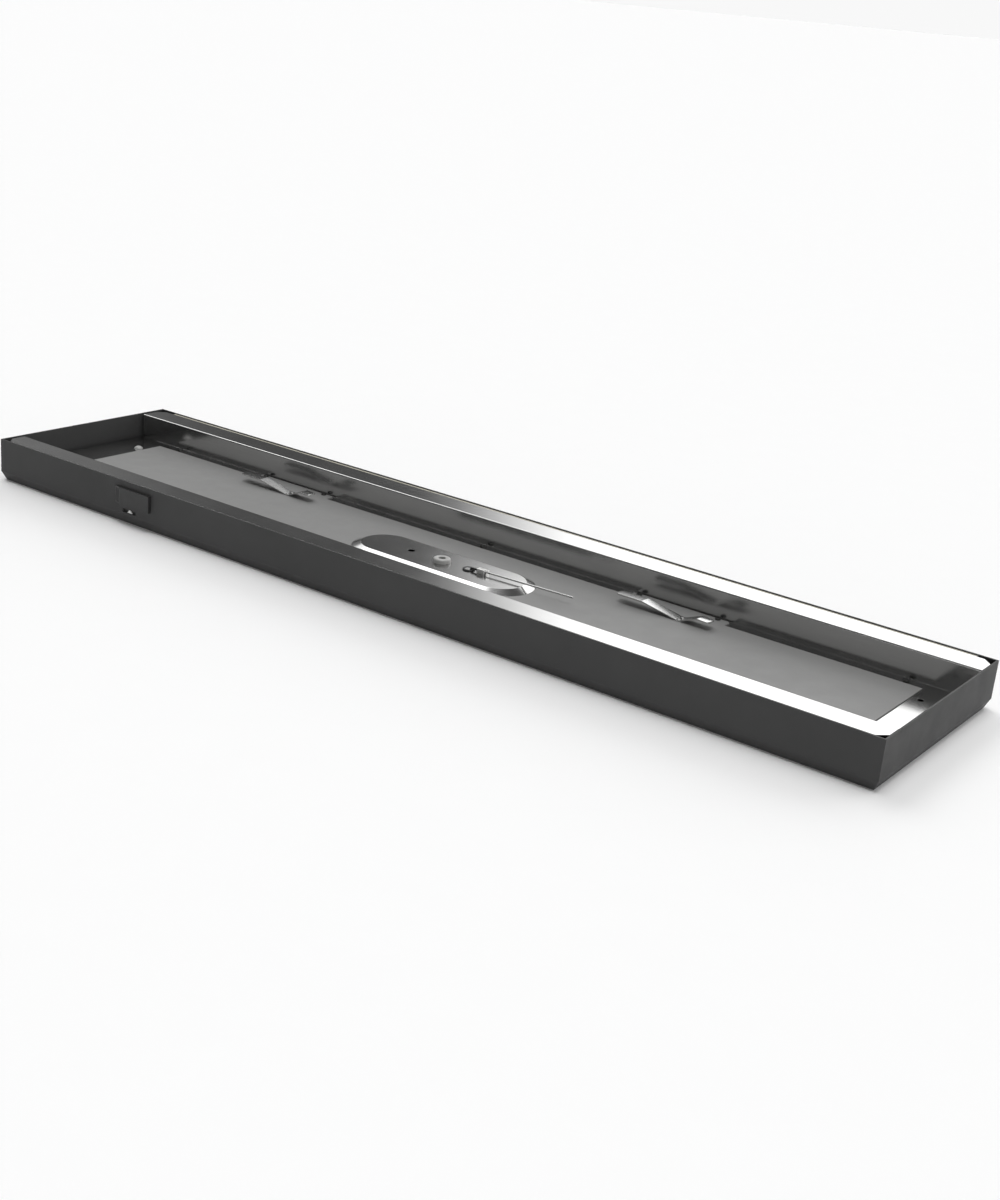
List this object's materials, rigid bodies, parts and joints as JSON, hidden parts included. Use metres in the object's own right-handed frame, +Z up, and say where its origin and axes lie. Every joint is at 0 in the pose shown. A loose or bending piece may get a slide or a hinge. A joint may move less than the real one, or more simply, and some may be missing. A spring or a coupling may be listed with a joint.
{
  "type": "linear electric fireplace tray",
  "caption": "Long shallow open fireplace tray with bevelled casing, bright liner, bed panel, raised oval plate, collar, probe, cradle brackets and a front slide control.",
  "frame": {"origin": "centre of the underside, midway between the slider cap's front face and the cable bushing's rear end", "axes": "+X along the tray to the right seen from the control side, +Y from the control side to the rear, +Z up"},
  "size_m": [1, 0.2344, 0.0435],
  "materials": {
    "anodised": "dark anodised",
    "bed_grey": "matte mid grey",
    "black_plastic": "fine texture",
    "black_rubber": "matte",
    "brass": "turned",
    "bright_liner": "satin reflective sheet",
    "circuit_green": "solder mask",
    "grey_plastic": "smooth",
    "lead_black": "flexible",
    "lead_brown": "flexible",
    "lead_earth": "flexible",
    "lead_white": "flexible",
    "opal_cover": "opal, warm",
    "powder_coat": "matte dark grey powder coat",
    "satin_steel": "brushed",
    "white_plastic": "smooth",
    "zinc_steel": "zinc plated"
  },
  "bodies": {
    "tray": {"casing": "powder_coat", "liner_standoffs": "zinc_steel", "liner": "bright_liner", "bed_panel": "bed_grey", "oval_plate": "bright_liner", "bracket_left": "satin_steel", "bracket_right": "satin_steel", "liner_screws": "zinc_steel", "panel_screws": "zinc_steel", "hole_plugs": "grey_plastic", "feed_collar": "grey_plastic", "collar_nut": "brass", "lead_grommet": "black_rubber", "lead_ferrule": "satin_steel", "probe_clamp": "satin_steel", "clamp_screw": "zinc_steel", "temperature_probe": "satin_steel", "probe_lead": "lead_black", "light_channel": "anodised", "light_board": "white_plastic", "light_chips": "opal_cover", "light_diffuser": "opal_cover", "slider_guide": "black_plastic", "guide_nuts": "zinc_steel", "slide_switch": "black_plastic", "control_board": "circuit_green", "board_parts": "black_plastic", "board_screws": "zinc_steel", "power_supply": "satin_steel", "supply_screws": "zinc_steel", "terminal_block": "white_plastic", "terminal_screws": "brass", "mains_leads": "lead_brown", "earth_stud": "brass", "earth_lead": "lead_earth", "control_lead": "lead_black", "light_lead": "lead_white", "cable_bushing": "black_rubber", "rating_plate": "satin_steel"},
    "slider": {"slider_cap": "black_plastic", "slider_pointer": "white_plastic", "slider_carriage": "black_plastic", "carriage_screws": "zinc_steel"}
  },
  "joints": [
    {"name": "slider_travel", "type": "slide", "parent": "tray", "child": "slider", "axis": [1, 0, 0], "range_m": [-0.0055, 0.0055]}
  ]
}
